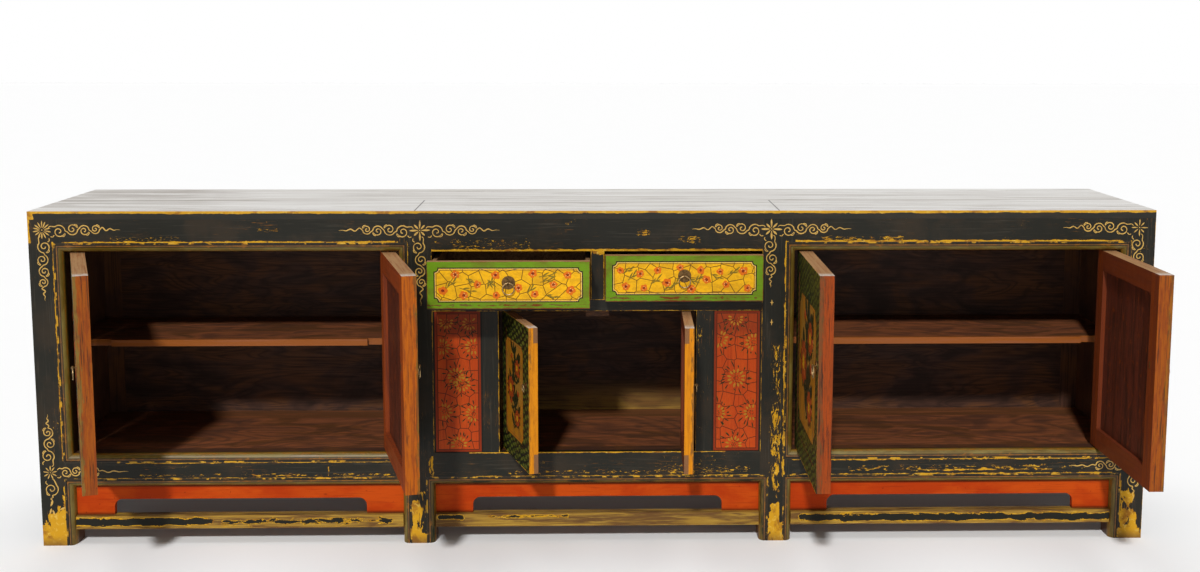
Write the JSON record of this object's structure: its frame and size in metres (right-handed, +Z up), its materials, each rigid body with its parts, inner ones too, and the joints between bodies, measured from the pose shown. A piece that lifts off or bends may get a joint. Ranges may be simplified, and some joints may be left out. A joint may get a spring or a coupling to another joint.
{
  "type": "sideboard",
  "caption": "Long low painted sideboard with hinged panel doors on wooden pivots, drawers, shelves and ring pulls.",
  "frame": {"origin": "on the floor, halfway along the length and halfway between the foremost open door edge and the back of the posts", "axes": "+X along the length to the right as seen from the front, +Y from front to back, +Z up; the front faces -Y"},
  "size_m": [2.5, 0.7718, 0.76],
  "materials": {
    "black_paint": "aged black paint over yellow ground, worn at the edges",
    "old_wood": "bare old softwood, darkened",
    "olive_paint": "worn olive and ochre paint",
    "orange_red_paint": "aged orange-red paint",
    "ochre_paint": "ochre ground with remains of black paint",
    "door_frame_paint": "worn ochre and red-brown paint",
    "door_panel_paint": "green paint with gold pattern outside, red-brown inside",
    "drawer_front_paint": "yellow panel in a green border, painted",
    "aged_brass": "aged dark brass"
  },
  "bodies": {
    "carcass": {"front_post_left": "black_paint", "front_post_inner_left": "black_paint", "front_post_inner_right": "black_paint", "front_post_right": "black_paint", "back_posts": "old_wood", "top_boards": "black_paint", "top_rails": "black_paint", "sill_rails": "black_paint", "drawer_rail": "black_paint", "drawer_divider": "black_paint", "left_bay_mouldings": "olive_paint", "middle_bay_mouldings": "olive_paint", "right_bay_mouldings": "olive_paint", "aprons": "orange_red_paint", "stretchers": "ochre_paint", "side_and_cross_rails": "old_wood", "side_panels": "black_paint", "back_rails": "old_wood", "back_boards": "old_wood", "partitions": "old_wood", "floor_boards": "old_wood", "left_shelf": "old_wood", "right_shelf": "old_wood", "shelf_bearers": "old_wood", "fixed_panels": "orange_red_paint", "middle_stiles": "black_paint", "drawer_runners": "old_wood", "door_stop": "old_wood"},
    "left_door_1": {"left_door_1_frame": "door_frame_paint", "left_door_1_panel": "door_panel_paint", "left_door_1_pull_plate": "aged_brass"},
    "left_door_1_ring": {"left_door_1_ring": "aged_brass"},
    "left_door_2": {"left_door_2_frame": "door_frame_paint", "left_door_2_panel": "door_panel_paint", "left_door_2_pull_plate": "aged_brass"},
    "left_door_2_ring": {"left_door_2_ring": "aged_brass"},
    "middle_door_1": {"middle_door_1_frame": "door_frame_paint", "middle_door_1_panel": "door_panel_paint", "middle_door_1_pull_plate": "aged_brass"},
    "middle_door_1_ring": {"middle_door_1_ring": "aged_brass"},
    "middle_door_2": {"middle_door_2_frame": "door_frame_paint", "middle_door_2_panel": "door_panel_paint", "middle_door_2_pull_plate": "aged_brass"},
    "middle_door_2_ring": {"middle_door_2_ring": "aged_brass"},
    "right_door_1": {"right_door_1_frame": "door_frame_paint", "right_door_1_panel": "door_panel_paint", "right_door_1_pull_plate": "aged_brass"},
    "right_door_1_ring": {"right_door_1_ring": "aged_brass"},
    "right_door_2": {"right_door_2_frame": "door_frame_paint", "right_door_2_panel": "door_panel_paint", "right_door_2_pull_plate": "aged_brass"},
    "right_door_2_ring": {"right_door_2_ring": "aged_brass"},
    "left_drawer": {"left_drawer_front": "drawer_front_paint", "left_drawer_box": "old_wood", "left_drawer_pull_plate": "aged_brass"},
    "left_drawer_ring": {"left_drawer_ring": "aged_brass"},
    "right_drawer": {"right_drawer_front": "drawer_front_paint", "right_drawer_box": "old_wood", "right_drawer_pull_plate": "aged_brass"},
    "right_drawer_ring": {"right_drawer_ring": "aged_brass"}
  },
  "joints": [
    {"name": "left_door_1_hinge", "type": "hinge", "parent": "carcass", "child": "left_door_1", "pos_m": [-1.1515, -0.04414, 0.4405], "axis": [0, 0, -1], "range_deg": [-70, 40]},
    {"name": "left_door_1_ring_swing", "type": "hinge", "parent": "left_door_1", "child": "left_door_1_ring", "pos_m": [-1.06516, -0.34421, 0.475], "axis": [-0.342, 0.9397, 0], "range_deg": [-8, 150]},
    {"name": "left_door_2_hinge", "type": "hinge", "parent": "carcass", "child": "left_door_2", "pos_m": [-0.4665, -0.04414, 0.4405], "axis": [0, 0, 1], "range_deg": [-104.8, 1.2]},
    {"name": "left_door_2_ring_swing", "type": "hinge", "parent": "left_door_2", "child": "left_door_2_ring", "pos_m": [-0.36614, -0.33982, 0.475], "axis": [0.2554, -0.9668, 0], "range_deg": [-8, 150]},
    {"name": "middle_door_1_hinge", "type": "hinge", "parent": "carcass", "child": "middle_door_1", "pos_m": [-0.1985, -0.04915, 0.373], "axis": [0, 0, -1], "range_deg": [-72, 43]},
    {"name": "middle_door_1_ring_swing", "type": "hinge", "parent": "middle_door_1", "child": "middle_door_1_ring", "pos_m": [-0.15996, -0.22115, 0.404], "axis": [-0.309, 0.9511, 0], "range_deg": [-8, 150]},
    {"name": "middle_door_2_hinge", "type": "hinge", "parent": "carcass", "child": "middle_door_2", "pos_m": [0.1985, -0.04915, 0.373], "axis": [0, 0, 1], "range_deg": [-88.6, 26.4]},
    {"name": "middle_door_2_ring_swing", "type": "hinge", "parent": "middle_door_2", "child": "middle_door_2_ring", "pos_m": [0.21071, -0.225, 0.404], "axis": [-0.0244, -0.9997, 0], "range_deg": [-8, 150]},
    {"name": "right_door_1_hinge", "type": "hinge", "parent": "carcass", "child": "right_door_1", "pos_m": [0.4665, -0.04414, 0.4405], "axis": [0, 0, -1], "range_deg": [-91, 15]},
    {"name": "right_door_1_ring_swing", "type": "hinge", "parent": "right_door_1", "child": "right_door_1_ring", "pos_m": [0.43957, -0.35522, 0.475], "axis": [0.0175, 0.9998, 0], "range_deg": [-8, 150]},
    {"name": "right_door_2_hinge", "type": "hinge", "parent": "carcass", "child": "right_door_2", "pos_m": [1.1515, -0.04414, 0.4405], "axis": [0, 0, 1], "range_deg": [-89.8, 20.2]},
    {"name": "right_door_2_ring_swing", "type": "hinge", "parent": "right_door_2", "child": "right_door_2_ring", "pos_m": [1.17191, -0.35572, 0.475], "axis": [-0.0035, -1, 0], "range_deg": [-8, 150]},
    {"name": "left_drawer_slide", "type": "slide", "parent": "carcass", "child": "left_drawer", "axis": [0, -1, 0], "range_m": [-0.118, 0.132]},
    {"name": "right_drawer_slide", "type": "slide", "parent": "carcass", "child": "right_drawer", "axis": [0, -1, 0], "range_m": [-0.036, 0.214]},
    {"name": "left_drawer_ring_swing", "type": "hinge", "parent": "left_drawer", "child": "left_drawer_ring", "pos_m": [-0.1915, -0.18865, 0.61975], "axis": [-1, 0, 0], "range_deg": [-8, 150]},
    {"name": "right_drawer_ring_swing", "type": "hinge", "parent": "right_drawer", "child": "right_drawer_ring", "pos_m": [0.1915, -0.10665, 0.61975], "axis": [-1, 0, 0], "range_deg": [-8, 150]}
  ]
}
